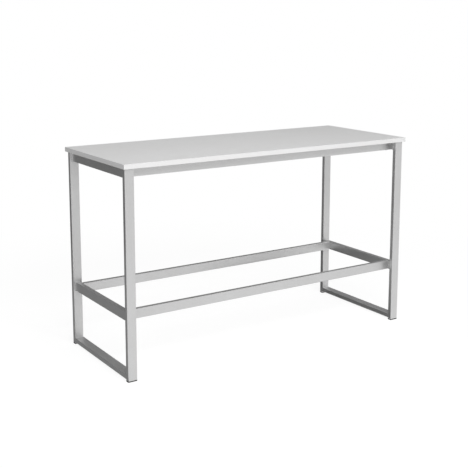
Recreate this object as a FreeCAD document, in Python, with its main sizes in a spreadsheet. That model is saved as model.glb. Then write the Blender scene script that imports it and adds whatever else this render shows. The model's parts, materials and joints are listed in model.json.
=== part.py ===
import FreeCAD, Part
import Sketcher
import os

# A standing-height meeting table: an edge-banded top on two welded end frames, joined by four long
# rails that slide over spigots and are locked by screws from below. Millimetres, +Z up, +X along the
# length, -Y to the front. The origin is on the floor under the middle of the top.

SIZES = {
    # overall sizes and the top
    "table_height": 1090,
    "top_length": 1800,
    "top_width": 700,
    "top_thickness": 24,
    "band_thickness": 2,
    "band_round": 1,
    # how far the top stands out past the frame
    "end_overhang": 10,
    "side_overhang": 15,
    # the steel tube
    "tube_wide": 50,
    "tube_narrow": 25,
    "tube_wall": 2,
    "tube_round": 3,
    # where the rails lie
    "footrest_height": 352,
    "rail_gap": 25,
    "floor_rail_height": 25,
    "floor_rail_rise": 4,
    # the spigots that carry the long rails
    "spigot_reach": 60,
    "spigot_wall": 3,
    "spigot_clearance": 0.3,
    "spigot_round": 1,
    # the screws that lock a rail on its spigot
    "lock_screw_shank_radius": 3,
    "lock_screw_shank_length": 10,
    "lock_screw_head_radius": 5.25,
    "lock_screw_crown_radius": 3,
    "lock_screw_head_height": 3.3,
    "lock_screw_socket_flats": 4,
    "lock_screw_socket_depth": 2,
    "screw_play": 0.3,
    "thread_clearance": 0.1,
    # the welded tabs under the top and their wood screws
    "tab_width": 40,
    "tab_reach": 30,
    "tab_thickness": 3,
    "long_tab_inset": 252.5,
    "end_tab_inset": 160,
    "board_screw_shank_radius": 2.2,
    "board_screw_cover": 8,
    "board_screw_head_radius": 4.5,
    "board_screw_crown_radius": 3,
    "board_screw_head_height": 2.8,
    "board_screw_socket_flats": 3,
    "board_screw_socket_depth": 1.5,
    # the feet
    "foot_flange": 6,
    "foot_round": 1,
    "plug_depth": 28,
    "plug_clearance": 0.2,
    "plug_skin": 2,
    "plug_floor": 6,
    "glide_radius": 8,
    "glide_thickness": 3.8,
    "glide_clearance": 0.2,
    "stud_radius": 4,
    "stud_length": 33,
    "stud_rise": 0.8,
    "stud_socket_flats": 5,
    "stud_socket_depth": 2.5,
    "nut_flats": 13,
    "nut_height": 6.5,
    "nut_cover": 8,
    "nut_wall": 3,
    "nut_clearance": 0.1,
}

# Places worked out from the sizes, as expressions. Each is a distance from the origin.
FRAME_END = "(Sizes.top_length / 2 - Sizes.end_overhang)"
FRAME_SIDE = "(Sizes.top_width / 2 - Sizes.side_overhang)"
UNDERSIDE = "(Sizes.table_height - Sizes.top_thickness)"
LEG_X = f"({FRAME_END} - Sizes.tube_wide / 2)"
LEG_Y = f"({FRAME_SIDE} - Sizes.tube_narrow / 2)"
LEG_LENGTH = f"({UNDERSIDE} - Sizes.foot_flange)"
CROSS_SPAN = f"(2 * ({FRAME_SIDE} - Sizes.tube_narrow))"
CROSS_FACE = f"({LEG_X} - Sizes.tube_narrow / 2)"
RAIL_Y = f"({FRAME_SIDE} - Sizes.tube_narrow - Sizes.rail_gap - Sizes.tube_narrow / 2)"
RAIL_FACE = f"({RAIL_Y} - Sizes.tube_narrow / 2)"
TOP_RAIL_Z = f"({UNDERSIDE} - Sizes.tube_wide / 2)"
FOOTREST_Z = "(Sizes.footrest_height - Sizes.tube_wide / 2)"
FLOOR_RAIL_Z = "(Sizes.foot_flange + Sizes.floor_rail_rise + Sizes.floor_rail_height / 2)"
LOCK_X = f"({CROSS_FACE} - Sizes.spigot_reach / 2)"
SPIGOT_WIDE = "(Sizes.tube_wide - 2 * Sizes.tube_wall - 2 * Sizes.spigot_clearance)"
SPIGOT_NARROW = "(Sizes.tube_narrow - 2 * Sizes.tube_wall - 2 * Sizes.spigot_clearance)"
PLUG_WIDE = "(Sizes.tube_wide - 2 * Sizes.tube_wall - 2 * Sizes.plug_clearance)"
PLUG_NARROW = "(Sizes.tube_narrow - 2 * Sizes.tube_wall - 2 * Sizes.plug_clearance)"
BOARD_SCREW_DEPTH = "(Sizes.top_thickness - Sizes.board_screw_cover)"
GLIDE_RECESS = "(Sizes.glide_thickness + Sizes.glide_clearance)"
NUT_SEAT = f"({GLIDE_RECESS} + Sizes.nut_cover)"
NUT_CORE = "(2 * Sizes.nut_flats / sqrt(3) + 2 * Sizes.nut_wall)"

ENDS = {"left": -1, "right": 1}
SIDES = {"front": -1, "rear": 1}
LEVELS = {"top": TOP_RAIL_Z, "footrest": FOOTREST_Z}
# The plane across each direction, and the two directions that its sketches use.
ACROSS = {"x": ("YZ_Plane", "yz"), "y": ("XZ_Plane", "xz"), "z": ("XY_Plane", "xy")}

doc = FreeCAD.newDocument("standing_table")
pieces = []


def fill_sheet():
    """Write every size into the sheet, one cell and one alias each."""
    sheet = doc.addObject("Spreadsheet::Sheet", "Sizes")
    for row, (alias, value) in enumerate(SIZES.items(), start=1):
        sheet.set(f"A{row}", str(value))
        sheet.setAlias(f"A{row}", alias)
    doc.recompute()


def tie(thing, **sizes):
    """Bind properties of an object to expressions."""
    for name, expression in sizes.items():
        thing.setExpression(name, expression)


def place(thing, x="0", y="0", z="0"):
    """Bind an object's place to expressions."""
    for axis, expression in zip("xyz", (x, y, z)):
        thing.setExpression(f"Placement.Base.{axis}", expression)


def keep(thing, label):
    """Name a finished piece, which becomes a file of that name."""
    thing.Label = label
    pieces.append(thing)
    return thing


# ---- sketches and bodies ----

def new_body(name):
    return doc.addObject("PartDesign::Body", f"{name}_body")


def new_sketch(body, plane, height="0"):
    """A sketch on one of the body's own planes, raised along the plane's normal."""
    sketch = body.newObject("Sketcher::SketchObject", f"{body.Name}_sketch")
    base = [part for part in body.Origin.OriginFeatures if part.Role == plane][0]
    sketch.AttachmentSupport = [(base, "")]
    sketch.MapMode = "FlatFace"
    sketch.setExpression("AttachmentOffset.Base.z", height)
    return sketch


def add_rectangle(sketch, wide, tall):
    """A rectangle centred on the sketch's origin."""
    corner = [FreeCAD.Vector(u, v, 0) for u, v in ((-10, -5), (10, -5), (10, 5), (-10, 5))]
    first = sketch.GeometryCount
    for index in range(4):
        sketch.addGeometry(Part.LineSegment(corner[index], corner[(index + 1) % 4]), False)
    bottom, right, top, left = range(first, first + 4)
    for line, following in ((bottom, right), (right, top), (top, left), (left, bottom)):
        sketch.addConstraint(Sketcher.Constraint("Coincident", line, 2, following, 1))
    for line in (bottom, top):
        sketch.addConstraint(Sketcher.Constraint("Horizontal", line))
    for line in (right, left):
        sketch.addConstraint(Sketcher.Constraint("Vertical", line))
    sketch.addConstraint(Sketcher.Constraint("Symmetric", bottom, 1, right, 2, -1, 1))
    for side, length in ((bottom, wide), (right, tall)):
        number = sketch.addConstraint(Sketcher.Constraint("Distance", side, 10))
        sketch.setExpression(f"Constraints[{number}]", length)


def add_circle(sketch, x, y, radius):
    """A circle whose centre and radius follow expressions."""
    circle = sketch.addGeometry(Part.Circle(FreeCAD.Vector(1, 1, 0), FreeCAD.Vector(0, 0, 1), 1), False)
    for kind, distance in (("DistanceX", x), ("DistanceY", y)):
        number = sketch.addConstraint(Sketcher.Constraint(kind, -1, 1, circle, 3, 1))
        sketch.setExpression(f"Constraints[{number}]", distance)
    number = sketch.addConstraint(Sketcher.Constraint("Radius", circle, 1))
    sketch.setExpression(f"Constraints[{number}]", radius)


def pad(body, sketch, length, symmetric=False):
    feature = body.newObject("PartDesign::Pad", f"{body.Name}_pad")
    feature.Profile = sketch
    feature.SideType = "Symmetric" if symmetric else "One side"
    feature.setExpression("Length", length)
    doc.recompute()
    return feature


def round_edges(body, base, edges, radius):
    feature = body.newObject("PartDesign::Fillet", f"{body.Name}_round")
    feature.Base = (base, edges)
    feature.setExpression("Radius", radius)
    doc.recompute()
    return feature


def drill(body, centres, radius, depth=None, upward=False):
    """Round holes from the body's XY plane, down to the outside or up to a depth."""
    before = body.Shape.Volume
    sketch = new_sketch(body, "XY_Plane")
    for x, y in centres:
        add_circle(sketch, x, y, radius)
    feature = body.newObject("PartDesign::Pocket", f"{body.Name}_holes")
    feature.Profile = sketch
    feature.Reversed = upward
    if depth is None:
        feature.Type = "ThroughAll"
    else:
        feature.setExpression("Length", depth)
    doc.recompute()
    if not body.Shape.Volume < before:
        raise RuntimeError(f"the holes in {body.Name} cut nothing")
    return feature


def box_limits(shape):
    box = shape.BoundBox
    return {"x": (box.XMin, box.XMax), "y": (box.YMin, box.YMax), "z": (box.ZMin, box.ZMax)}


def on_limit(point, axis, limits):
    return min(abs(getattr(point, axis) - limit) for limit in limits[axis]) < 1e-6


def corner_edges(shape, along):
    """The edges in one direction that lie on the corners of the shape's box."""
    limits = box_limits(shape)
    across = ACROSS[along][1]
    return [f"Edge{number}" for number, edge in enumerate(shape.Edges, start=1)
            if all(on_limit(edge.CenterOfMass, axis, limits) for axis in across)]


def bottom_edges(shape):
    """The edges that lie in the lowest plane of the shape."""
    floor = shape.BoundBox.ZMin
    return [f"Edge{number}" for number, edge in enumerate(shape.Edges, start=1)
            if abs(edge.BoundBox.ZMax - floor) < 1e-6]


# ---- pieces of the frame ----

def tube(label, along, wide, tall, length, wall, corner, holes=None):
    """A rectangular tube centred on its own origin, with rounded outer corners.

    wide and tall are its outer sizes across, in the order X, Y, Z. holes gives the centres and the
    radius of round holes through its lower wall.
    """
    body = new_body(label)
    sketch = new_sketch(body, ACROSS[along][0])
    add_rectangle(sketch, wide, tall)
    add_rectangle(sketch, f"{wide} - 2 * {wall}", f"{tall} - 2 * {wall}")
    bar = pad(body, sketch, length, symmetric=True)
    round_edges(body, bar, corner_edges(bar.Shape, along), corner)
    if holes:
        centres, radius = holes
        drill(body, centres, radius)
    return keep(body, label)


def make_legs():
    for end, end_sign in ENDS.items():
        for side, side_sign in SIDES.items():
            leg = tube(f"{end}_{side}_leg", "z", "Sizes.tube_wide", "Sizes.tube_narrow",
                       LEG_LENGTH, "Sizes.tube_wall", "Sizes.tube_round")
            place(leg, f"{end_sign} * {LEG_X}", f"{side_sign} * {LEG_Y}",
                  f"Sizes.foot_flange + {LEG_LENGTH} / 2")


def make_cross_rails():
    """The three rails between the legs of each end frame."""
    rows = (
        ("top_cross_rail", "Sizes.tube_narrow", "Sizes.tube_wide", TOP_RAIL_Z),
        ("mid_cross_rail", "Sizes.tube_narrow", "Sizes.tube_wide", FOOTREST_Z),
        ("floor_rail", "Sizes.tube_wide", "Sizes.floor_rail_height", FLOOR_RAIL_Z),
    )
    for end, end_sign in ENDS.items():
        for name, wide, tall, height in rows:
            rail = tube(f"{end}_{name}", "y", wide, tall, CROSS_SPAN,
                        "Sizes.tube_wall", "Sizes.tube_round")
            place(rail, f"{end_sign} * {LEG_X}", "0", height)


def make_long_rails():
    """The two top rails and the two footrest rails, each with a screw hole near both ends."""
    centres = [(f"{sign} * {LOCK_X}", "0") for sign in ENDS.values()]
    for level, height in LEVELS.items():
        for side, side_sign in SIDES.items():
            rail = tube(f"{side}_{level}_rail", "x", "Sizes.tube_narrow", "Sizes.tube_wide",
                        f"2 * {CROSS_FACE}", "Sizes.tube_wall", "Sizes.tube_round",
                        holes=(centres, "Sizes.lock_screw_shank_radius + Sizes.screw_play"))
            place(rail, "0", f"{side_sign} * {RAIL_Y}", height)


def make_spigots():
    """Short tubes on the cross rails, inside the ends of the long rails, tapped for the lock screws."""
    tapped = ([("0", "0")], "Sizes.lock_screw_shank_radius + Sizes.thread_clearance")
    for level, height in LEVELS.items():
        for end, end_sign in ENDS.items():
            for side, side_sign in SIDES.items():
                spigot = tube(f"{end}_{side}_{level}_spigot", "x", SPIGOT_NARROW, SPIGOT_WIDE,
                              "Sizes.spigot_reach", "Sizes.spigot_wall", "Sizes.spigot_round",
                              holes=tapped)
                place(spigot, f"{end_sign} * {LOCK_X}", f"{side_sign} * {RAIL_Y}", height)


# ---- the top ----

def tab_rows():
    """Each row of tabs: its name, the tabs' screw places, and the sizes of a tab along X and Y."""
    rows = []
    along_x = f"({CROSS_FACE} - Sizes.long_tab_inset)"
    along_y = f"({FRAME_SIDE} - Sizes.tube_narrow - Sizes.end_tab_inset)"
    screw_y = f"({RAIL_FACE} - Sizes.tab_reach / 2)"
    screw_x = f"({CROSS_FACE} - Sizes.tab_reach / 2)"
    for side, sign in SIDES.items():
        places = [(f"{step} * {along_x}", f"{sign} * {screw_y}") for step in (-1, 0, 1)]
        rows.append((side, places, "Sizes.tab_width", "Sizes.tab_reach"))
    for end, sign in ENDS.items():
        places = [(f"{sign} * {screw_x}", f"{step} * {along_y}") for step in (-1, 1)]
        rows.append((end, places, "Sizes.tab_reach", "Sizes.tab_width"))
    return rows


def make_top_board():
    """The board inside its edge bands, with a pilot hole over each tab."""
    body = new_body("top_board")
    sketch = new_sketch(body, "XY_Plane")
    add_rectangle(sketch, "Sizes.top_length - 2 * Sizes.band_thickness",
                  "Sizes.top_width - 2 * Sizes.band_thickness")
    pad(body, sketch, "Sizes.top_thickness")
    centres = [place_xy for _, places, _, _ in tab_rows() for place_xy in places]
    drill(body, centres, "Sizes.board_screw_shank_radius + Sizes.thread_clearance",
          BOARD_SCREW_DEPTH, upward=True)
    place(body, z=UNDERSIDE)
    keep(body, "top_board")


def make_band(label, along, outward, wide, deep):
    """One edge band, rounded along the two edges of its outer face.

    along is its length's direction, and outward is -1 or 1, the way it faces across that.
    """
    body = new_body(label)
    sketch = new_sketch(body, "XY_Plane")
    add_rectangle(sketch, wide, deep)
    strip = pad(body, sketch, "Sizes.top_thickness")
    across = "y" if along == "x" else "x"
    outer_edges = [name for name in corner_edges(strip.Shape, along)
                   if outward * getattr(strip.Shape.getElement(name).CenterOfMass, across) > 0]
    round_edges(body, strip, outer_edges, "Sizes.band_round")
    return keep(body, label)


def make_bands():
    """The front and rear bands run the full length, the end bands lie between them."""
    for side, sign in SIDES.items():
        band = make_band(f"{side}_edge_band", "x", sign, "Sizes.top_length", "Sizes.band_thickness")
        place(band, y=f"{sign} * (Sizes.top_width - Sizes.band_thickness) / 2", z=UNDERSIDE)
    for end, sign in ENDS.items():
        band = make_band(f"{end}_edge_band", "y", sign, "Sizes.band_thickness",
                         "Sizes.top_width - 2 * Sizes.band_thickness")
        place(band, x=f"{sign} * (Sizes.top_length - Sizes.band_thickness) / 2", z=UNDERSIDE)


# ---- plain solids, screws and tabs ----

def cylinder(name, radius, height, z="0"):
    solid = doc.addObject("Part::Cylinder", name)
    tie(solid, Radius=radius, Height=height)
    place(solid, z=z)
    return solid


def hexagon(name, flats, height, z="0"):
    """A six-sided bar, sized across its flats, with a corner on the X axis."""
    solid = doc.addObject("Part::Prism", name)
    solid.Polygon = 6
    tie(solid, Circumradius=f"{flats} / sqrt(3)", Height=height)
    place(solid, z=z)
    return solid


def block(name, wide, deep, tall, x="0", y="0", z="0"):
    """A box centred on a place in X and Y, with its underside at z."""
    solid = doc.addObject("Part::Box", name)
    tie(solid, Length=wide, Width=deep, Height=tall)
    place(solid, f"{x} - {wide} / 2", f"{y} - {deep} / 2", z)
    return solid


def cut(name, base, tool):
    solid = doc.addObject("Part::Cut", name)
    solid.Base = base
    solid.Tool = tool
    return solid


def join(name, *parts):
    solid = doc.addObject("Part::MultiFuse", name)
    solid.Shapes = list(parts)
    return solid


def group(label, parts):
    """Several separate solids of one kind, as one piece."""
    compound = doc.addObject("Part::Compound", label)
    compound.Links = parts
    return keep(compound, label)


def screw(name, kind, shank_length, x, y, z):
    """A screw that points up, its head's seat at z. kind says which sizes it takes."""
    size = f"Sizes.{kind}_"
    head = doc.addObject("Part::Cone", f"{name}_head")
    tie(head, Radius1=size + "crown_radius", Radius2=size + "head_radius", Height=size + "head_height")
    place(head, z=f"-{size}head_height")
    shank = cylinder(f"{name}_shank", size + "shank_radius", shank_length)
    socket = hexagon(f"{name}_socket", size + "socket_flats", size + "socket_depth",
                     z=f"-{size}head_height")
    solid = cut(name, join(f"{name}_blank", head, shank), socket)
    place(solid, x, y, z)
    return solid


def make_tabs():
    """The tabs welded to the rails flush under the top, and the wood screws through them."""
    for row, places, wide, deep in tab_rows():
        tabs = []
        screws = []
        for number, (x, y) in enumerate(places, start=1):
            plate = block(f"{row}_tab_plate_{number}", wide, deep, "Sizes.tab_thickness")
            hole = cylinder(f"{row}_tab_hole_{number}",
                            "Sizes.board_screw_shank_radius + Sizes.screw_play",
                            "Sizes.tab_thickness")
            tab = cut(f"{row}_tab_{number}", plate, hole)
            seat = f"{UNDERSIDE} - Sizes.tab_thickness"
            place(tab, x, y, seat)
            tabs.append(tab)
            screws.append(screw(f"{row}_board_screw_{number}", "board_screw",
                                f"Sizes.tab_thickness + {BOARD_SCREW_DEPTH}", x, y, seat))
        group(f"{row}_fixing_tabs", tabs)
        group(f"{row}_board_screws", screws)


def make_lock_screws():
    """The screws that go up through each long rail into its two spigots."""
    for level, height in LEVELS.items():
        for side, side_sign in SIDES.items():
            name = f"{side}_{level}_lock_screws"
            group(name, [screw(f"{name}_{end}", "lock_screw", "Sizes.lock_screw_shank_length",
                               f"{end_sign} * {LOCK_X}", f"{side_sign} * {RAIL_Y}",
                               f"{height} - Sizes.tube_wide / 2")
                         for end, end_sign in ENDS.items()])


# ---- the feet ----

def foot_blank(name):
    """The flange with the leg's outline, and the plug above it that fills the tube."""
    body = new_body(name)
    sketch = new_sketch(body, "XY_Plane")
    add_rectangle(sketch, "Sizes.tube_wide", "Sizes.tube_narrow")
    flange = pad(body, sketch, "Sizes.foot_flange")
    corners = round_edges(body, flange, corner_edges(flange.Shape, "z"), "Sizes.tube_round")
    round_edges(body, corners, bottom_edges(corners.Shape), "Sizes.foot_round")
    sketch = new_sketch(body, "XY_Plane", "Sizes.foot_flange")
    add_rectangle(sketch, PLUG_WIDE, PLUG_NARROW)
    pad(body, sketch, "Sizes.plug_depth")
    return body


def foot_hollows(name):
    """What is taken out of a foot: the glide's recess, the stud's hole, the nut's seat, two pockets."""
    top = "(Sizes.foot_flange + Sizes.plug_depth)"
    hollows = [
        cylinder(f"{name}_recess", "Sizes.glide_radius + Sizes.glide_clearance", GLIDE_RECESS),
        cylinder(f"{name}_bore", "Sizes.stud_radius + Sizes.thread_clearance", top),
        hexagon(f"{name}_nut_seat", "(Sizes.nut_flats + 2 * Sizes.nut_clearance)",
                f"{top} - {NUT_SEAT}", z=NUT_SEAT),
    ]
    wide = f"(({PLUG_WIDE} - {NUT_CORE}) / 2 - Sizes.plug_skin)"
    deep = f"({PLUG_NARROW} - 2 * Sizes.plug_skin)"
    for end, sign in ENDS.items():
        hollows.append(block(f"{name}_{end}_pocket", wide, deep, "Sizes.plug_depth - Sizes.plug_floor",
                             x=f"{sign} * ({NUT_CORE} + {wide}) / 2",
                             z="Sizes.foot_flange + Sizes.plug_floor"))
    return join(f"{name}_hollows", *hollows)


def make_nut(corner, spot):
    bore = cylinder(f"{corner}_nut_bore", "Sizes.stud_radius + Sizes.thread_clearance",
                    "Sizes.nut_height")
    nut = cut(f"{corner}_nut", hexagon(f"{corner}_nut_blank", "Sizes.nut_flats", "Sizes.nut_height"), bore)
    place(nut, *spot, NUT_SEAT)
    keep(nut, f"{corner}_foot_nut")


def make_glide(corner, spot):
    """The pad that meets the floor, moulded on the stud, whose socket is reached through the pad."""
    disc = cylinder(f"{corner}_pad_disc", "Sizes.glide_radius", "Sizes.glide_thickness")
    hole = cylinder(f"{corner}_pad_hole", "Sizes.stud_radius + Sizes.thread_clearance",
                    "Sizes.glide_thickness")
    pad_piece = cut(f"{corner}_pad", disc, hole)
    place(pad_piece, *spot)
    keep(pad_piece, f"{corner}_glide_pad")

    rod = cylinder(f"{corner}_rod", "Sizes.stud_radius", "Sizes.stud_length")
    socket = hexagon(f"{corner}_rod_socket", "Sizes.stud_socket_flats", "Sizes.stud_socket_depth")
    stud = cut(f"{corner}_stud", rod, socket)
    place(stud, *spot, "Sizes.stud_rise")
    keep(stud, f"{corner}_glide_stud")


def make_feet():
    """Under each leg a plastic foot, the nut held in it and the glide screwed through the nut."""
    for end, end_sign in ENDS.items():
        for side, side_sign in SIDES.items():
            corner = f"{end}_{side}"
            spot = (f"{end_sign} * {LEG_X}", f"{side_sign} * {LEG_Y}")
            foot = cut(f"{corner}_foot_cut", foot_blank(f"{corner}_foot_blank"),
                       foot_hollows(f"{corner}_foot"))
            place(foot, *spot)
            keep(foot, f"{corner}_foot")
            make_nut(corner, spot)
            make_glide(corner, spot)


# ---- the whole table ----

def check_and_write():
    """Stop on a failed object or shape, then write one file per piece."""
    doc.recompute()
    for thing in doc.Objects:
        if {"Invalid", "Error"} & set(thing.State):
            raise RuntimeError(f"{thing.Name} failed: {thing.State}")
    for piece in pieces:
        if piece.Shape.isNull() or not piece.Shape.isValid():
            raise RuntimeError(f"{piece.Label} has no valid shape")
    os.makedirs("parts", exist_ok=True)
    for piece in pieces:
        piece.Shape.exportStep(f"parts/{piece.Label}.step")
        print(f"{piece.Label}: {len(piece.Shape.Solids)} solid(s), {piece.Shape.Volume:.0f} mm3")


fill_sheet()
make_top_board()
make_bands()
make_legs()
make_cross_rails()
make_long_rails()
make_spigots()
make_lock_screws()
make_tabs()
make_feet()
check_and_write()
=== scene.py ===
"""Finishes, small parts and studio for the standing-height meeting table."""
import bmesh
import bpy
import json
import math
from mathutils import Matrix, Vector


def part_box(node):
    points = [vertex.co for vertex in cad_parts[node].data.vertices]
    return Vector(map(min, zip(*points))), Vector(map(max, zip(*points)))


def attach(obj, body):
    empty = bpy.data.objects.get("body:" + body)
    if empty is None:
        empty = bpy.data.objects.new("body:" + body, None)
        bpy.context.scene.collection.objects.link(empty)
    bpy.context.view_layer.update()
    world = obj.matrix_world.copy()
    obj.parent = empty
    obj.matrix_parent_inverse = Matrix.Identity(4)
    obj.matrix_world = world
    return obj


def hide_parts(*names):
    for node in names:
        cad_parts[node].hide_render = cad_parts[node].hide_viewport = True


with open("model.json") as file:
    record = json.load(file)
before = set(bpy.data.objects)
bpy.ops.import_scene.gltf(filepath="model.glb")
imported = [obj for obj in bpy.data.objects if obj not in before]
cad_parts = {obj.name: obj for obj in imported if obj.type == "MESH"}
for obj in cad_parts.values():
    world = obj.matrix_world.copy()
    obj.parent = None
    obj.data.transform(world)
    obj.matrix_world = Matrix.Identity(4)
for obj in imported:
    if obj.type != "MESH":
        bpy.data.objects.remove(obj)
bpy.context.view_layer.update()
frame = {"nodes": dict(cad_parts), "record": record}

# Metres throughout, in the table's own frame: +X to the right end, +Y to the rear, +Z up.
ENDS = ("left", "right")
SIDES = {"front": -1, "rear": 1}
LEVELS = ("top", "footrest")
CORNERS = [(end, side) for end in ENDS for side in SIDES]
# Separate solids of one node stand further apart than this.
SOLIDS_APART = 0.06

# Weld beads. The rises, the end size and the throat are shares of a bead's leg, the waver's rate is
# in radians a metre, and the turns are degrees round the bead.
TUBE_ROUND = 0.003
CORNER_STEPS = 4
WELD_LEG = 0.003
WELD_CLEAR = 0.001
WELD_RIPPLE = 0.0026
WELD_RIPPLE_RISE = 0.09
WELD_WAVER_RISE = 0.05
WELD_WAVER_RATE = 410
WELD_POINT_PITCH = WELD_RIPPLE / 4
WELD_END_SIZE = 0.35
WELD_END_POINTS = 5
WELD_THROAT = 0.80
WELD_TURNS = (0, 18, 36, 54, 72, 90)

# Turned parts: screws, studs and glide pads. Points within AXIS_REACH of the axis are one point.
TURNED_SIDES = 36
AXIS_REACH = 1e-6
POINTS_PER_METRE = 1e7

# Edges that turn by more degrees than this stay sharp.
WELD_SMOOTH = 50
TURNED_SMOOTH = 30

# How far each point of a thread stands between root (0) and crest (1), over one pitch.
MACHINE_TOOTH = (0.0, 0.0, 0.35, 0.8, 1.0, 1.0, 0.65, 0.2)
WOOD_TOOTH = (0.0, 0.0, 0.0, 0.0, 0.3, 1.0, 0.3, 0.0)
# How much of a pitch a thread takes to run out at each end.
THREAD_RUNOUT = 0.5

RIM_HEIGHT = 0.0004
NECK_ROUND = 0.0002
DOME_STEPS = 6
SOCKET_CHAMFER = 0.0002
# The depth of a socket's coned floor, as a share of its width across flats.
SOCKET_CONE = 0.2
LOCK_SCREW = {"head_radius": 0.00525, "crown_radius": 0.003, "head_height": 0.0033, "flats": 0.004,
              "socket_depth": 0.002, "neck": 0.0015, "shank_radius": 0.003, "root": 0.0024,
              "pitch": 0.001, "point": 0.0006, "blunt": 0.0019, "tooth": MACHINE_TOOTH}
BOARD_SCREW = {"head_radius": 0.0045, "crown_radius": 0.003, "head_height": 0.0028, "flats": 0.003,
               "socket_depth": 0.0015, "neck": 0.0032, "shank_radius": 0.0022, "root": 0.0015,
               "pitch": 0.002, "point": 0.004, "blunt": 0.0002, "tooth": WOOD_TOOTH}

STUD_FLATS = 0.005
STUD_SOCKET_DEPTH = 0.0025
STUD_PITCH = 0.00125
STUD_ROOT = 0.00325
STUD_CHAMFER = 0.0006
STUD_LIP = 0.0001

PAD_HOLE = 0.0041
PAD_ROUND = 0.0012
PAD_ROUND_STEPS = 5
PAD_SHOULDER = 0.0005
PAD_SHOULDER_STEPS = 3
PAD_GROOVE = 0.0006

# Shared effects. A range is where noise, or the slope of an edge, starts and ends to count.
CLOUD_RANGE = (0.35, 0.65)
GLOSS_RANGE = (0.3, 0.7)
GLOSS_FINER = 7.0
# Specks start at SPECK_NONE for a share of 0, lower by SPECK_REACH for a share of 1, and are full
# at SPECK_FULL.
SPECK_NONE = 0.75
SPECK_REACH = 0.5
SPECK_FULL = 0.8
SPECK_HEIGHT = 0.25
EDGE_SAMPLES = 4
EDGE_RANGE = (0.995, 0.85)
BROKEN_RANGE = (0.42, 0.62)
WORN_ROUGHER = 0.12

# The studio.
AIR_LIGHT = 0.42
FLOOR_HALF = 30.0
FLOOR_CELLS = 8
FLOOR_GREY = 0.8
# The share of real light and shadow on the floor near the table, how bright that light makes it,
# and how far from the table's middle the share starts to fade and is gone.
FLOOR_SHADE = 0.25
FLOOR_LEVEL = 0.54
FLOOR_SHADE_START = 1.2
FLOOR_SHADE_END = 3.0
# Each lamp's name, place, target, width, height and power in watts.
LAMPS = (
    ("key_softbox", (-0.5, -5.4, 4.4), (0, 0, 0.7), 4.0, 2.0, 226),
    ("overhead_softbox", (-0.8, -1.0, 4.0), (0, 0, 1.0), 2.4, 2.4, 24),
)
SCREEN_LEVEL = 0.13
SCREEN_FAR = 6.0
SCREEN_TALL = 9.0
SCREEN_STEPS = 12
# Each part of the screen: the angles where it starts and ends, and how high it starts.
SCREENS = ((30, 95, 0.8), (95, 165, 0.0))
MAT_HEIGHT = 0.002
# Each mat's name, level and outlines on the floor: left of the table, under and behind its right
# end, and further back.
MATS = (
    ("left_mat", 0.20, (((-6.0, -0.4), (-0.885, -0.4), (-0.885, 0.36), (-6.0, 0.36)),
                        ((-6.0, 0.36), (-0.7, 0.36), (-0.7, 1.8), (-6.0, 1.8)))),
    ("right_mat", 0.02, (((0.3, -0.36), (0.83, -0.36), (0.83, 0.36), (0.3, 0.36)),
                         ((-0.7, 0.36), (0.83, 0.36), (0.83, 0.9), (0.4, 1.8), (-0.7, 1.8)))),
    ("rear_mat", 0.05, (((-6.0, 1.8), (0.4, 1.8), (0.2, 2.2), (-1.2, 4.2), (-3.0, 6.0),
                         (-6.0, 6.0)),)),
)

# The camera: its yaw, pitch and roll are in degrees, and its focal length is in pixels.
IMAGE_SIDE = 468
FOCAL_PIXELS = 920.17
SENSOR_WIDTH = 36
LENS_SHIFT = -0.14
CAMERA_TURN = (-33.220, -9.508, 0.075)
CAMERA_PLACE = (-2.8058, -4.2055, 1.7882)


# ---- node helpers ----

def feed(tree, socket, value):
    """Set a socket to a plain value, or link an output to it."""
    if isinstance(value, bpy.types.NodeSocket):
        tree.links.new(value, socket)
    else:
        socket.default_value = value


def new_node(tree, kind, **inputs):
    """A node with its inputs fed by name. Spaces in names are underscores."""
    node = tree.nodes.new(kind)
    for name, value in inputs.items():
        feed(tree, node.inputs[name.replace("_", " ")], value)
    return node


def math_node(tree, operation, a, b=0.0, clamp=False):
    node = tree.nodes.new("ShaderNodeMath")
    node.operation = operation
    node.use_clamp = clamp
    feed(tree, node.inputs[0], a)
    feed(tree, node.inputs[1], b)
    return node.outputs[0]


def vector_value(tree, operation, *vectors):
    """A number worked out from one or two vectors."""
    node = tree.nodes.new("ShaderNodeVectorMath")
    node.operation = operation
    for socket, vector in zip(node.inputs, vectors):
        tree.links.new(vector, socket)
    return node.outputs["Value"]


def object_place(tree):
    return tree.nodes.new("ShaderNodeTexCoord").outputs["Object"]


def noise(tree, where, scale, detail=2.0, roughness=0.5):
    node = new_node(tree, "ShaderNodeTexNoise", Vector=where, Scale=scale, Detail=detail,
                    Roughness=roughness)
    return node.outputs["Fac"]


def spread(tree, value, low, high, to_low=0.0, to_high=1.0):
    """Stretch a range of values onto another, held at its ends."""
    node = new_node(tree, "ShaderNodeMapRange", Value=value, From_Min=low, From_Max=high,
                    To_Min=to_low, To_Max=to_high)
    return node.outputs["Result"]


def blend_colours(tree, factor, first, second):
    node = tree.nodes.new("ShaderNodeMix")
    node.data_type = "RGBA"
    feed(tree, node.inputs["Factor"], factor)
    feed(tree, node.inputs[6], first)
    feed(tree, node.inputs[7], second)
    return node.outputs[2]


def blend_shaders(tree, factor, first, second):
    node = tree.nodes.new("ShaderNodeMixShader")
    feed(tree, node.inputs[0], factor)
    tree.links.new(first.outputs[0], node.inputs[1])
    tree.links.new(second.outputs[0], node.inputs[2])
    return node


def new_group(name, inputs, outputs):
    """An empty shader node group with named sockets, and the sockets of its two end nodes."""
    tree = bpy.data.node_groups.new(name, "ShaderNodeTree")
    for socket_name, (kind, value) in inputs.items():
        socket = tree.interface.new_socket(socket_name, in_out="INPUT", socket_type=kind)
        socket.default_value = value
    for socket_name, kind in outputs.items():
        tree.interface.new_socket(socket_name, in_out="OUTPUT", socket_type=kind)
    given = tree.nodes.new("NodeGroupInput").outputs
    out = tree.nodes.new("NodeGroupOutput").inputs
    return tree, given, out


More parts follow.
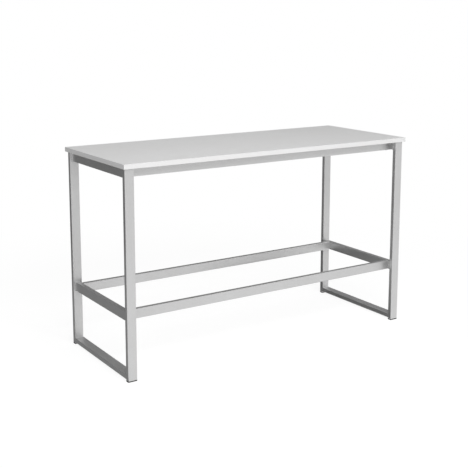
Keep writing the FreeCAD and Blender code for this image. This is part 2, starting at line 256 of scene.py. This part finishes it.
def place_group(tree, group, **inputs):
    """A group in a material, with its inputs fed by name. Spaces in names are underscores."""
    node = tree.nodes.new("ShaderNodeGroup")
    node.node_tree = group
    for name, value in inputs.items():
        feed(tree, node.inputs[name.replace("_", " ")], value)
    return node.outputs


FLOAT, COLOUR = "NodeSocketFloat", "NodeSocketColor"


# ---- effects that several finishes share ----

def make_tone_group():
    """Slow drift of a finish over a large face: a lighter and darker colour, and a drift of gloss."""
    tree, given, out = new_group(
        "tone_drift",
        {"Colour": (COLOUR, (0.8, 0.8, 0.8, 1)), "Darker": (COLOUR, (0.7, 0.7, 0.7, 1)),
         "Scale": (FLOAT, 4.0), "Roughness": (FLOAT, 0.4), "Roughness Drift": (FLOAT, 0.05)},
        {"Colour": COLOUR, "Roughness": FLOAT})
    where = object_place(tree)
    cloud = noise(tree, where, given["Scale"], detail=4.0, roughness=0.55)
    patches = spread(tree, cloud, *CLOUD_RANGE)
    feed(tree, out["Colour"], blend_colours(tree, patches, given["Darker"], given["Colour"]))
    finer_scale = math_node(tree, "MULTIPLY", given["Scale"], GLOSS_FINER)
    finer = noise(tree, where, finer_scale, detail=3.0)
    swing = spread(tree, finer, *GLOSS_RANGE, to_low=-1.0, to_high=1.0)
    drift = math_node(tree, "MULTIPLY", swing, given["Roughness Drift"])
    feed(tree, out["Roughness"], math_node(tree, "ADD", given["Roughness"], drift))
    return tree


def make_grain_group():
    """The fine relief of a coating or a moulded skin: a height, and specks that sparkle or darken."""
    tree, given, out = new_group(
        "fine_grain",
        {"Wave Scale": (FLOAT, 350.0), "Speck Scale": (FLOAT, 2200.0), "Speck Share": (FLOAT, 0.3)},
        {"Height": FLOAT, "Specks": FLOAT})
    where = object_place(tree)
    wave = noise(tree, where, given["Wave Scale"], detail=1.0)
    specks = noise(tree, where, given["Speck Scale"], detail=0.0)
    reach = math_node(tree, "MULTIPLY", given["Speck Share"], SPECK_REACH)
    start = math_node(tree, "SUBTRACT", SPECK_NONE, reach)
    feed(tree, out["Specks"], spread(tree, specks, start, SPECK_FULL))
    raised = math_node(tree, "MULTIPLY", specks, SPECK_HEIGHT)
    feed(tree, out["Height"], math_node(tree, "ADD", wave, raised))
    return tree


def make_edge_group():
    """A mask along worn edges, broken up by noise, from how far a rounded normal leaves the true one."""
    tree, given, out = new_group(
        "edge_wear",
        {"Width": (FLOAT, 0.0015), "Amount": (FLOAT, 0.5), "Break Up": (FLOAT, 60.0)},
        {"Mask": FLOAT})
    rounded = new_node(tree, "ShaderNodeBevel", Radius=given["Width"])
    rounded.samples = EDGE_SAMPLES
    true_normal = tree.nodes.new("ShaderNodeNewGeometry").outputs["True Normal"]
    slope = vector_value(tree, "DOT_PRODUCT", rounded.outputs["Normal"], true_normal)
    edge = spread(tree, slope, *EDGE_RANGE)
    broken = noise(tree, object_place(tree), given["Break Up"], detail=5.0, roughness=0.65)
    worn = math_node(tree, "MULTIPLY", edge, spread(tree, broken, *BROKEN_RANGE))
    feed(tree, out["Mask"], math_node(tree, "MULTIPLY", worn, given["Amount"], clamp=True))
    return tree


tone_drift = make_tone_group()
fine_grain = make_grain_group()
edge_wear = make_edge_group()


# ---- finishes ----

def grey(level, warmth=0.0):
    """A near-neutral colour, a little warmer or cooler."""
    return (level * (1 + warmth), level, level * (1 - warmth), 1)


# One finish for each slot of the record.
FINISHES = {
    "white_laminate": dict(
        metallic=0.0, colour=grey(0.80), darker=grey(0.785, 0.003),
        scale=3.0, roughness=0.42, drift=0.04,
        wave=900.0, speck=2600.0, share=0.1, relief=0.18, relief_depth=0.0001,
        wear=0.15, wear_colour=grey(0.72, 0.01), wear_width=0.001, speck_colour=grey(0.76)),
    "white_edging": dict(
        metallic=0.0, colour=grey(0.805), darker=grey(0.79, 0.004),
        scale=6.0, roughness=0.36, drift=0.04,
        wave=500.0, speck=2200.0, share=0.05, relief=0.12, relief_depth=0.0001,
        wear=0.25, wear_colour=grey(0.74, 0.01), wear_width=0.001, speck_colour=grey(0.8)),
    "silver_paint": dict(
        metallic=0.74, colour=grey(0.59), darker=grey(0.57, 0.002),
        scale=5.0, roughness=0.37, drift=0.03,
        wave=420.0, speck=3200.0, share=0.5, relief=0.12, relief_depth=0.00012,
        wear=0.3, wear_colour=grey(0.74), wear_width=0.002, speck_colour=grey(0.7)),
    "bare_steel": dict(
        metallic=0.85, colour=grey(0.60), darker=grey(0.55, 0.004),
        scale=14.0, roughness=0.42, drift=0.06,
        wave=420.0, speck=3200.0, share=0.4, relief=0.15, relief_depth=0.00012,
        wear=0.4, wear_colour=grey(0.7), wear_width=0.001, speck_colour=grey(0.7)),
    "zinc_steel": dict(
        metallic=1.0, colour=grey(0.68, -0.012), darker=grey(0.6, -0.006),
        scale=90.0, roughness=0.3, drift=0.07,
        wave=1400.0, speck=3000.0, share=0.3, relief=0.2, relief_depth=0.00008,
        wear=0.5, wear_colour=grey(0.78), wear_width=0.0004, speck_colour=grey(0.5)),
    "black_plastic": dict(
        metallic=0.0, colour=grey(0.022, -0.01), darker=grey(0.018),
        scale=25.0, roughness=0.52, drift=0.06,
        wave=1300.0, speck=2600.0, share=0.3, relief=0.35, relief_depth=0.00015,
        wear=0.5, wear_colour=grey(0.05), wear_width=0.0008, speck_colour=grey(0.03),
        specular=0.2),
    "grey_nylon": dict(
        metallic=0.0, colour=grey(0.11), darker=grey(0.095),
        scale=60.0, roughness=0.5, drift=0.08,
        wave=1600.0, speck=2600.0, share=0.3, relief=0.3, relief_depth=0.0001,
        wear=0.7, wear_colour=grey(0.17, 0.02), wear_width=0.0006, speck_colour=grey(0.15)),
}


def new_finish(name, metallic, colour, darker, scale, roughness, drift,
               wave, speck, share, relief, relief_depth,
               wear, wear_colour, wear_width, speck_colour, specular=0.5):
    """A finish: drifting tone, grain, specks and worn edges on one Principled BSDF."""
    material = bpy.data.materials.new(name)
    material.use_nodes = True
    tree = material.node_tree
    shader = tree.nodes["Principled BSDF"]
    tone = place_group(tree, tone_drift, Colour=colour, Darker=darker, Scale=scale,
                       Roughness=roughness, Roughness_Drift=drift)
    grain = place_group(tree, fine_grain, Wave_Scale=wave, Speck_Scale=speck, Speck_Share=share)
    worn = place_group(tree, edge_wear, Width=wear_width, Amount=wear)["Mask"]
    flecked = blend_colours(tree, grain["Specks"], tone["Colour"], speck_colour)
    feed(tree, shader.inputs["Base Color"], blend_colours(tree, worn, flecked, wear_colour))
    rougher = math_node(tree, "MULTIPLY", worn, WORN_ROUGHER)
    feed(tree, shader.inputs["Roughness"], math_node(tree, "ADD", tone["Roughness"], rougher))
    bump = new_node(tree, "ShaderNodeBump", Strength=relief, Distance=relief_depth,
                    Height=grain["Height"])
    feed(tree, shader.inputs["Normal"], bump.outputs["Normal"])
    shader.inputs["Metallic"].default_value = metallic
    shader.inputs["Specular IOR Level"].default_value = specular
    return material


finishes = {name: new_finish(name, **look) for name, look in FINISHES.items()}


def dress(piece, slot_name):
    """Give a piece the finish of one of the record's slots."""
    piece.data.materials.clear()
    piece.data.materials.append(finishes[slot_name])


def dress_cad_nodes():
    for row in frame["record"]["subparts"]:
        dress(frame["nodes"][row["node"]], row["material_slot"])


# ---- meshes ----

def add_object(name, data):
    added = bpy.data.objects.new(name, data)
    bpy.context.scene.collection.objects.link(added)
    return added


def add_mesh(name, shape):
    """A mesh object from a bmesh, which is freed."""
    mesh = bpy.data.meshes.new(name)
    shape.to_mesh(mesh)
    shape.free()
    return add_object(name, mesh)


def new_piece(name, shape, slot_name, body, smooth_degrees):
    """A piece of the table from a bmesh, finished and riding on a CAD body."""
    bmesh.ops.recalc_face_normals(shape, faces=shape.faces)
    piece = add_mesh(name, shape)
    piece.data.shade_smooth()
    piece.data.set_sharp_from_angle(angle=math.radians(smooth_degrees))
    dress(piece, slot_name)
    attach(piece, body)
    return piece


def box_centre(low, high):
    return (low + high) / 2


def solid_boxes(node):
    """The lowest and highest corner of each separate solid in a node, in order along X, then Y."""
    heaps = []
    for vertex in frame["nodes"][node].data.vertices:
        place = vertex.co
        for heap in heaps:
            if (heap[0] - place).xy.length < SOLIDS_APART:
                heap.append(place)
                break
        else:
            heaps.append([place])
    boxes = []
    for heap in heaps:
        low = Vector([min(place[axis] for place in heap) for axis in range(3)])
        high = Vector([max(place[axis] for place in heap) for axis in range(3)])
        boxes.append((low, high))
    return sorted(boxes, key=lambda box: (round(box[0].x, 4), box[0].y))


# ---- weld beads ----

def rounded_corner(across, up, sign_a, sign_u):
    """Points and outward directions round one corner of a tube's section, against the clock."""
    start = {(-1, -1): 180, (1, -1): 270, (1, 1): 0, (-1, 1): 90}[(sign_a, sign_u)]
    hub = Vector((sign_a * (across - TUBE_ROUND), sign_u * (up - TUBE_ROUND)))
    points = []
    for step in range(CORNER_STEPS + 1):
        angle = math.radians(start + 90 * step / CORNER_STEPS)
        outward = Vector((math.cos(angle), math.sin(angle)))
        points.append((hub + outward * TUBE_ROUND, outward))
    return points


def tube_path(half_across, half_up, corners):
    """Points and outward directions round a tube's section, from corner to corner."""
    points = []
    for sign_a, sign_u in corners:
        points += rounded_corner(half_across, half_up, sign_a, sign_u)
    return points


def finely(points, closed):
    """The same path with its points close enough together for the ripples."""
    path = []
    following = points[1:] + points[:1] if closed else points[1:]
    for (here, out_here), (there, out_there) in zip(points, following):
        count = max(1, round((there - here).length / WELD_POINT_PITCH))
        for step in range(count):
            share = step / count
            outward = out_here.lerp(out_there, share).normalized()
            path.append((here.lerp(there, share), outward))
    return path if closed else path + [points[-1]]


def add_bead(shape, points, closed, to_world, along):
    """A fillet weld: flat on both steels, crowned and rippled outside.

    points has places and outward directions in the section's plane, to_world puts them on the table,
    and along is the direction in which the bead's second leg runs.
    """
    path = finely(points, closed)
    rings = []
    travelled = 0.0
    for index, (place, outward) in enumerate(path):
        if index:
            travelled += (place - path[index - 1][0]).length
        ripple = WELD_RIPPLE_RISE * abs(math.sin(math.pi * travelled / WELD_RIPPLE))
        waver = WELD_WAVER_RISE * math.sin(travelled * WELD_WAVER_RATE)
        taper = 1.0
        if not closed:
            end_distance = min(index, len(path) - 1 - index)
            grown = min(1.0, end_distance / WELD_END_POINTS)
            taper = WELD_END_SIZE + (1 - WELD_END_SIZE) * grown
        leg = WELD_LEG * (1 + ripple + waver) * taper
        base = to_world(place)
        out = to_world(place + outward) - base
        ring = [base]
        for angle in WELD_TURNS:
            turn = math.radians(angle)
            bulge = WELD_THROAT + (1 - WELD_THROAT) * abs(math.cos(2 * turn))
            ring.append(base + (out * math.cos(turn) + along * math.sin(turn)) * leg * bulge)
        rings.append([shape.verts.new(point) for point in ring])
    pairs = list(zip(rings, rings[1:]))
    if closed:
        pairs.append((rings[-1], rings[0]))
    for first, second in pairs:
        for index in range(len(first)):
            following = (index + 1) % len(first)
            shape.faces.new((first[index], first[following], second[following], second[index]))
    if not closed:
        shape.faces.new(rings[0])
        shape.faces.new(list(reversed(rings[-1])))


def weld_cross_rail(end, side, rail):
    """The bead where a cross rail meets a leg: all round, or less where a face is flush or covered."""
    low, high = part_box(f"{end}_{rail}")
    middle = box_centre(low, high)
    half_across = (high.x - low.x) / 2
    half_up = (high.z - low.z) / 2
    face_y = low.y if side == "front" else high.y
    along = Vector((0, -SIDES[side], 0))

    def to_world(point):
        return Vector((middle.x + point.x, face_y, middle.z + point.y))

    shape = bmesh.new()
    if rail == "mid_cross_rail":
        around = tube_path(half_across, half_up, ((-1, -1), (1, -1), (1, 1), (-1, 1)))
        add_bead(shape, around, True, to_world, along)
    elif rail == "top_cross_rail":
        top = half_up - WELD_LEG - WELD_CLEAR
        path = [(Vector((-half_across, top)), Vector((-1, 0)))]
        path += tube_path(half_across, half_up, ((-1, -1), (1, -1)))
        path += [(Vector((half_across, top)), Vector((1, 0)))]
        add_bead(shape, path, False, to_world, along)
    else:
        reach = half_across - TUBE_ROUND
        for up in (-1, 1):
            path = [(Vector((sign * reach, up * half_up)), Vector((0, up))) for sign in (-1, 1)]
            add_bead(shape, path, False, to_world, along)
    new_piece(f"{end}_{side}_{rail}_weld", shape, "silver_paint", "table", WELD_SMOOTH)


def weld_tab(name, low, high, way):
    """The bead under a fixing tab, where its root meets the rail's inner face. way points along the tab."""
    across = Vector((0, 1, 0)) if way.x else Vector((1, 0, 0))
    middle = box_centre(low, high)
    half_width = abs((high - low).dot(across)) / 2 - WELD_CLEAR
    half_reach = abs((high - low).dot(way)) / 2
    root = Vector((middle.x, middle.y, low.z)) - way * half_reach

    def to_world(point):
        return root + across * point.x + Vector((0, 0, point.y))

    shape = bmesh.new()
    path = [(Vector((sign * half_width, 0)), Vector((0, -1))) for sign in (-1, 1)]
    add_bead(shape, path, False, to_world, way)
    new_piece(name, shape, "silver_paint", "table", WELD_SMOOTH)


def make_welds():
    for end, side in CORNERS:
        for rail in ("top_cross_rail", "mid_cross_rail", "floor_rail"):
            weld_cross_rail(end, side, rail)
    inward = {"front": Vector((0, 1, 0)), "rear": Vector((0, -1, 0)),
              "left": Vector((1, 0, 0)), "right": Vector((-1, 0, 0))}
    for row, way in inward.items():
        for number, (low, high) in enumerate(solid_boxes(f"{row}_fixing_tabs")):
            weld_tab(f"{row}_tab_weld_{number}", low, high, way)


# ---- screws, studs and glide pads ----

class Turning:
    """A skin of points about an upright axis. Points that fall together are one point."""

    def __init__(self, x, y):
        self.x = x
        self.y = y
        self.shape = bmesh.new()
        self.points = {}

    def point(self, column, radius, height):
        column %= TURNED_SIDES
        if radius < AXIS_REACH:
            column = 0
        key = (column, round(radius * POINTS_PER_METRE), round(height * POINTS_PER_METRE))
        if key not in self.points:
            turn = 2 * math.pi * column / TURNED_SIDES
            place = (self.x + radius * math.cos(turn), self.y + radius * math.sin(turn), height)
            self.points[key] = self.shape.verts.new(place)
        return self.points[key]

    def face(self, *corners):
        unlike = list(dict.fromkeys(corners))
        if len(unlike) > 2 and self.shape.faces.get(unlike) is None:
            self.shape.faces.new(unlike)

    def profile(self, rows):
        """Join rows of (radius, height). A radius is a number, or a function of the column."""
        for (r0, z0), (r1, z1) in zip(rows, rows[1:]):
            for column in range(TURNED_SIDES):
                following = column + 1
                self.face(self.point(column, self.radius(r0, column), z0),
                          self.point(following, self.radius(r0, following), z0),
                          self.point(following, self.radius(r1, following), z1),
                          self.point(column, self.radius(r1, column), z1))

    def radius(self, given, column):
        return given(column % TURNED_SIDES) if callable(given) else given

    def thread(self, start, end, crest, root, pitch, tooth):
        """A helical thread that runs out into its root at both ends. tooth shapes one pitch."""
        per_turn = len(tooth)
        count = math.ceil((end - start) / pitch) * per_turn
        runout = THREAD_RUNOUT * pitch

        def at(row, column):
            height = start + (row / per_turn + column / TURNED_SIDES) * pitch
            held = min(max(height, start), end)
            fade = min(1.0, (held - start) / runout, (end - held) / runout)
            return self.point(column, root + (crest - root) * tooth[row % per_turn] * fade, held)

        for row in range(-per_turn, count):
            for column in range(TURNED_SIDES):
                self.face(at(row, column), at(row, column + 1),
                          at(row + 1, column + 1), at(row + 1, column))


def hexagon(flats):
    """The radius of a hexagon at each column, by its width across flats."""
    def radius(column):
        turn = math.radians((360 * column / TURNED_SIDES + 30) % 60 - 30)
        return flats / 2 / math.cos(turn)
    return radius


def arc(centre_radius, centre_height, reach, rise, start, end, steps):
    """Rows along an elliptical arc, by angle in degrees from the outward direction."""
    rows = []
    for step in range(steps + 1):
        angle = math.radians(start + (end - start) * step / steps)
        rows.append((centre_radius + reach * math.cos(angle), centre_height + rise * math.sin(angle)))
    return rows


def socket_rows(flats, depth, mouth):
    """A hexagonal socket, from its chamfered mouth up to its coned floor."""
    corner = flats / math.sqrt(3)
    six = hexagon(flats)
    return [(corner + SOCKET_CHAMFER, mouth), (six, mouth + SOCKET_CHAMFER),
            (six, mouth + depth), (0.0, mouth + (depth + SOCKET_CONE * flats))]


def make_screw(name, node, place, kind):
    """A dome-headed socket screw that points up, in place of one of a node's screws."""
    low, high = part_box(node)
    root = kind["root"]
    head = kind["head_radius"]
    crown = kind["crown_radius"]
    seat = low.z + kind["head_height"]
    dome_base = seat - RIM_HEIGHT
    neck = seat + kind["neck"]
    tip = high.z - kind["point"]
    dome = arc(crown, dome_base, head - crown, low.z - dome_base, 0, 90, DOME_STEPS)
    socket = socket_rows(kind["flats"], kind["socket_depth"], low.z)
    skin = Turning(*place)
    skin.profile([(root, neck), (root, seat + NECK_ROUND), (root + NECK_ROUND, seat), (head, seat)]
                 + dome + socket)
    skin.thread(neck, tip, kind["shank_radius"], root, kind["pitch"], kind["tooth"])
    skin.profile([(root, tip), (kind["blunt"], high.z), (0.0, high.z)])
    piece = new_piece(name, skin.shape, "zinc_steel", "table", TURNED_SMOOTH)
    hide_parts(node)


def make_screws():
    for side in SIDES:
        for level in LEVELS:
            node = f"{side}_{level}_lock_screws"
            for end, box in zip(ENDS, solid_boxes(node)):
                make_screw(f"{side}_{level}_lock_screw_{end}", node, box_centre(*box).xy, LOCK_SCREW)
    for row in ("front", "rear", "left", "right"):
        node = f"{row}_board_screws"
        for number, box in enumerate(solid_boxes(node)):
            make_screw(f"{row}_board_screw_{number}", node, box_centre(*box).xy, BOARD_SCREW)


def make_stud(corner):
    """The glide's threaded stud, with its socket at the foot."""
    node = f"{corner}_glide_stud"
    low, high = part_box(node)
    skin = Turning(*box_centre(low, high).xy)
    start = low.z + STUD_CHAMFER
    end = high.z - STUD_CHAMFER
    socket = socket_rows(STUD_FLATS, STUD_SOCKET_DEPTH, low.z)
    skin.profile(socket[::-1] + [(STUD_ROOT, low.z + STUD_LIP), (STUD_ROOT, start)])
    skin.thread(start, end, (high.x - low.x) / 2, STUD_ROOT, STUD_PITCH, MACHINE_TOOTH)
    skin.profile([(STUD_ROOT, end), (STUD_ROOT - STUD_CHAMFER, high.z), (0.0, high.z)])
    piece = new_piece(f"{corner}_threaded_stud", skin.shape, "zinc_steel", f"{corner}_glide",
                      TURNED_SMOOTH)
    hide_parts(node)


def make_pad(corner):
    """The glide's moulded pad, with a rounded foot, a grip groove and a hole to the stud's socket."""
    node = f"{corner}_glide_pad"
    low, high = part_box(node)
    middle = box_centre(low, high)
    outer = (high.x - low.x) / 2
    foot = arc(outer - PAD_ROUND, low.z + PAD_ROUND, PAD_ROUND, PAD_ROUND, -90, 0, PAD_ROUND_STEPS)
    shoulder = arc(outer - PAD_SHOULDER, high.z - PAD_SHOULDER, PAD_SHOULDER, PAD_SHOULDER, 0, 90,
                   PAD_SHOULDER_STEPS)
    half_groove = PAD_GROOVE / 2
    deepest = middle.z + half_groove
    groove = [(outer, deepest - half_groove), (outer - half_groove, deepest),
              (outer, deepest + half_groove)]
    hole = [(PAD_HOLE, high.z - PAD_SHOULDER / 2), (PAD_HOLE, low.z + PAD_SHOULDER),
            (PAD_HOLE + PAD_SHOULDER, low.z)]
    ring = hole + foot + groove + shoulder + [(PAD_HOLE + PAD_SHOULDER / 2, high.z)]
    skin = Turning(middle.x, middle.y)
    skin.profile(ring + ring[:1])
    piece = new_piece(f"{corner}_moulded_pad", skin.shape, "grey_nylon", f"{corner}_glide",
                      TURNED_SMOOTH)
    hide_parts(node)


def make_glides():
    for end, side in CORNERS:
        make_stud(f"{end}_{side}")
        make_pad(f"{end}_{side}")


# ---- the studio ----

def emptied_tree(owner):
    """A world's or a material's node tree, with no nodes."""
    owner.use_nodes = True
    owner.node_tree.nodes.clear()
    return owner.node_tree


def white_rays(tree):
    """1 for the rays that meet a white studio: the camera's, and those through glass or off gloss."""
    rays = tree.nodes.new("ShaderNodeLightPath").outputs
    seen = math_node(tree, "MAXIMUM", rays["Is Camera Ray"], rays["Is Transmission Ray"])
    return math_node(tree, "MAXIMUM", seen, rays["Is Glossy Ray"])


def make_air():
    """Soft light from all round, with a white background behind the table and in its reflections."""
    world = bpy.data.worlds.new("studio_air")
    bpy.context.scene.world = world
    tree = emptied_tree(world)
    light = new_node(tree, "ShaderNodeBackground", Color=(1, 1, 1, 1), Strength=AIR_LIGHT)
    white = new_node(tree, "ShaderNodeBackground", Color=(1, 1, 1, 1), Strength=1.0)
    out = tree.nodes.new("ShaderNodeOutputWorld")
    both = blend_shaders(tree, white_rays(tree), light, white)
    tree.links.new(both.outputs[0], out.inputs[0])


def make_floor():
    """A plain pale floor that reads as white and still takes the table's shadow."""
    material = bpy.data.materials.new("pale_floor")
    tree = emptied_tree(material)
    matt = new_node(tree, "ShaderNodeBsdfDiffuse", Color=grey(FLOOR_GREY))
    away = vector_value(tree, "LENGTH", object_place(tree))
    shade = spread(tree, away, FLOOR_SHADE_START, FLOOR_SHADE_END, FLOOR_SHADE, 0.0)
    fill = math_node(tree, "SUBTRACT", 1.0, math_node(tree, "MULTIPLY", shade, FLOOR_LEVEL))
    unshaded = math_node(tree, "SUBTRACT", 1.0, shade)
    white = new_node(tree, "ShaderNodeEmission", Color=(1, 1, 1, 1),
                     Strength=math_node(tree, "DIVIDE", fill, unshaded))
    whitened = math_node(tree, "MULTIPLY", white_rays(tree), unshaded)
    out = tree.nodes.new("ShaderNodeOutputMaterial")
    tree.links.new(blend_shaders(tree, whitened, matt, white).outputs[0], out.inputs[0])
    shape = bmesh.new()
    bmesh.ops.create_grid(shape, x_segments=FLOOR_CELLS, y_segments=FLOOR_CELLS, size=FLOOR_HALF)
    floor = add_mesh("floor", shape)
    floor.data.materials.append(material)


def make_reflector(name, level, outlines):
    """A grey studio card or mat that only reflections meet. outlines lists the corners of its sheets."""
    material = bpy.data.materials.new(name)
    tree = emptied_tree(material)
    glow = new_node(tree, "ShaderNodeEmission", Color=grey(1.0), Strength=level)
    out = tree.nodes.new("ShaderNodeOutputMaterial")
    tree.links.new(glow.outputs[0], out.inputs[0])
    shape = bmesh.new()
    for corners in outlines:
        shape.faces.new([shape.verts.new(corner) for corner in corners])
    card = add_mesh(name, shape)
    card.data.materials.append(material)
    card.visible_camera = False
    card.visible_diffuse = False
    card.visible_shadow = False
    card.visible_transmission = False


def make_screen():
    """The curved screen behind the table, in flat panels."""
    panels = []
    for start, end, foot in SCREENS:
        for step in range(SCREEN_STEPS):
            corners = []
            for edge, heights in ((step, (foot, SCREEN_TALL)), (step + 1, (SCREEN_TALL, foot))):
                angle = math.radians(start + (end - start) * edge / SCREEN_STEPS)
                x = SCREEN_FAR * math.cos(angle)
                y = SCREEN_FAR * math.sin(angle)
                corners += [(x, y, height) for height in heights]
            panels.append(corners)
    make_reflector("grey_screen", SCREEN_LEVEL, panels)


def make_mats():
    for name, level, outlines in MATS:
        sheets = [[(x, y, MAT_HEIGHT) for x, y in outline] for outline in outlines]
        make_reflector(name, level, sheets)


def make_lamps():
    """Soft rectangular lamps that light the table without showing as shapes in its gloss."""
    for name, place, target, wide, tall, power in LAMPS:
        light = bpy.data.lights.new(name, "AREA")
        light.shape = "RECTANGLE"
        light.size = wide
        light.size_y = tall
        light.energy = power
        lamp = add_object(name, light)
        lamp.visible_glossy = False
        lamp.location = place
        lamp.rotation_mode = "QUATERNION"
        lamp.rotation_quaternion = (Vector(target) - Vector(place)).to_track_quat("-Z", "Y")


def make_camera():
    """The camera, at the distance and lens that give the table's own perspective."""
    yaw, pitch, roll = (math.radians(angle) for angle in CAMERA_TURN)
    forward = Vector((-math.sin(yaw) * math.cos(pitch), math.cos(yaw) * math.cos(pitch),
                      math.sin(pitch)))
    level_right = Vector((math.cos(yaw), math.sin(yaw), 0))
    level_up = level_right.cross(forward)
    right = math.cos(roll) * level_right + math.sin(roll) * level_up
    up = -math.sin(roll) * level_right + math.cos(roll) * level_up
    lens = bpy.data.cameras.new("camera")
    lens.sensor_width = SENSOR_WIDTH
    lens.lens = SENSOR_WIDTH * FOCAL_PIXELS / IMAGE_SIDE
    lens.shift_y = LENS_SHIFT
    camera = add_object("camera", lens)
    turned = Matrix((right, up, -forward)).transposed().to_4x4()
    turned.translation = Vector(CAMERA_PLACE)
    camera.matrix_world = turned
    bpy.context.scene.camera = camera


bpy.context.scene.view_settings.view_transform = "Standard"
dress_cad_nodes()
make_welds()
make_screws()
make_glides()
make_floor()
make_air()
make_screen()
make_mats()
make_lamps()
make_camera()
